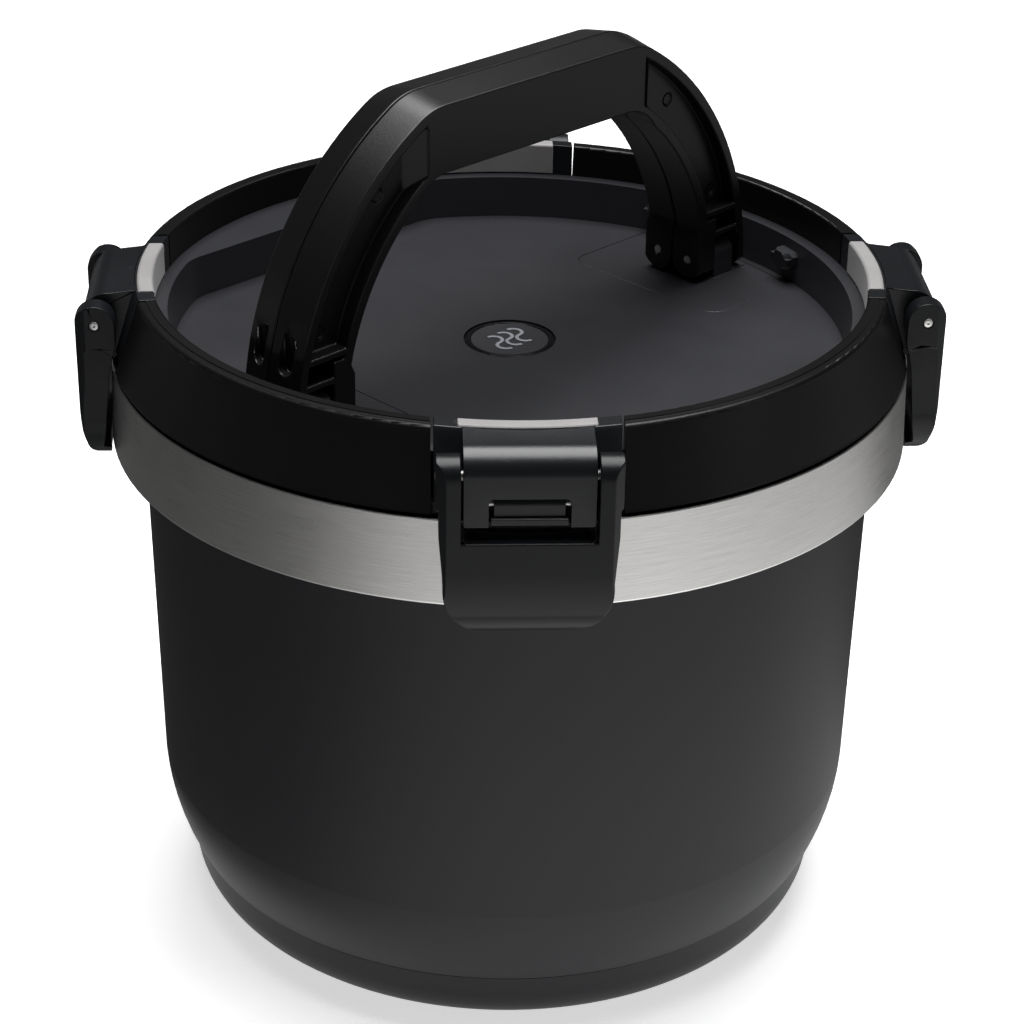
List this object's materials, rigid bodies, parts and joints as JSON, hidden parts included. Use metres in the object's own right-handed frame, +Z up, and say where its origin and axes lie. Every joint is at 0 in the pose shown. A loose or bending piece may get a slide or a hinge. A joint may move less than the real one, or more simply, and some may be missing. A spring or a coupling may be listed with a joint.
{
  "type": "insulated slow cooker crock",
  "caption": "Round insulated steel cooking crock with a clamp-down lid, side latches and a twin folding carry handle",
  "frame": {"origin": "centre of the base, on the plane it stands on", "axes": "+Z up; the latches lie on the X and Y axes, the front one at -Y; the handle line runs 42.5 degrees from +X towards +Y"},
  "size_m": [0.2576, 0.2576, 0.2724],
  "materials": {
    "coated_steel": "satin fine powder coat",
    "band_steel": "brushed round the ring",
    "pot_steel": "satin drawn steel",
    "foot_rubber": "matt",
    "grey_silicone": "soft matt",
    "foam": "rigid insulating foam",
    "pin_steel": "turned ends",
    "latch_plastic": "fine spark texture",
    "handle_plastic": "fine spark texture",
    "medallion_plastic": "smooth",
    "lid_plastic": "fine spark texture"
  },
  "bodies": {
    "vessel": {"outer_shell": "coated_steel", "steel_band": "band_steel", "inner_liner": "pot_steel", "base_cup": "coated_steel", "foot_ring": "foot_rubber", "vacuum_button": "pot_steel"},
    "lid": {"bail_pins": "pin_steel", "catch_pins": "pin_steel", "grip_insert_back": "grey_silicone", "grip_insert_front": "grey_silicone", "grip_insert_left": "grey_silicone", "grip_insert_right": "grey_silicone", "hinge_plate_left": "lid_plastic", "hinge_plate_right": "lid_plastic", "latch_bracket_back": "latch_plastic", "latch_bracket_front": "latch_plastic", "latch_bracket_left": "latch_plastic", "latch_bracket_right": "latch_plastic", "latch_pins": "pin_steel", "lid_collar": "lid_plastic", "lid_deck": "lid_plastic", "lid_foam": "foam", "lid_gasket": "grey_silicone", "lid_plug": "lid_plastic", "medallion": "medallion_plastic"},
    "bail_front": {"bail_front": "handle_plastic"},
    "bail_rear": {"bail_rear": "handle_plastic"},
    "lever_front": {"lever_front": "latch_plastic"},
    "lever_right": {"lever_right": "latch_plastic"},
    "lever_back": {"lever_back": "latch_plastic"},
    "lever_left": {"lever_left": "latch_plastic"},
    "catch_front": {"catch_front": "latch_plastic"},
    "catch_right": {"catch_right": "latch_plastic"},
    "catch_back": {"catch_back": "latch_plastic"},
    "catch_left": {"catch_left": "latch_plastic"}
  },
  "joints": [
    {"name": "lid_lift", "type": "slide", "parent": "vessel", "child": "lid", "axis": [0, 0, 1], "range_m": [0, 0.16]},
    {"name": "bail_front_fold", "type": "hinge", "parent": "lid", "child": "bail_front", "pos_m": [0.00426, -0.00464, 0.1913], "axis": [0.7373, 0.6756, 0], "range_deg": [0, 90]},
    {"name": "bail_rear_fold", "type": "hinge", "parent": "lid", "child": "bail_rear", "pos_m": [-0.00426, 0.00464, 0.1913], "axis": [-0.7373, -0.6756, 0], "range_deg": [0, 90]},
    {"name": "lever_front_swing", "type": "hinge", "parent": "lid", "child": "lever_front", "pos_m": [0, -0.1228, 0.1995], "axis": [-1, 0, 0], "range_deg": [-3, 110]},
    {"name": "catch_front_press", "type": "hinge", "parent": "lid", "child": "catch_front", "pos_m": [0, -0.1228, 0.1914], "axis": [1, 0, 0], "range_deg": [0, 8], "stiffness_Nm_per_rad": 0.02},
    {"name": "lever_right_swing", "type": "hinge", "parent": "lid", "child": "lever_right", "pos_m": [0.1228, 0, 0.1995], "axis": [0, -1, 0], "range_deg": [-3, 110]},
    {"name": "catch_right_press", "type": "hinge", "parent": "lid", "child": "catch_right", "pos_m": [0.1228, 0, 0.1914], "axis": [0, 1, 0], "range_deg": [0, 8], "stiffness_Nm_per_rad": 0.02},
    {"name": "lever_back_swing", "type": "hinge", "parent": "lid", "child": "lever_back", "pos_m": [0, 0.1228, 0.1995], "axis": [1, 0, 0], "range_deg": [-3, 110]},
    {"name": "catch_back_press", "type": "hinge", "parent": "lid", "child": "catch_back", "pos_m": [0, 0.1228, 0.1914], "axis": [-1, 0, 0], "range_deg": [0, 8], "stiffness_Nm_per_rad": 0.02},
    {"name": "lever_left_swing", "type": "hinge", "parent": "lid", "child": "lever_left", "pos_m": [-0.1228, 0, 0.1995], "axis": [0, 1, 0], "range_deg": [-3, 110]},
    {"name": "catch_left_press", "type": "hinge", "parent": "lid", "child": "catch_left", "pos_m": [-0.1228, 0, 0.1914], "axis": [0, -1, 0], "range_deg": [0, 8], "stiffness_Nm_per_rad": 0.02}
  ]
}
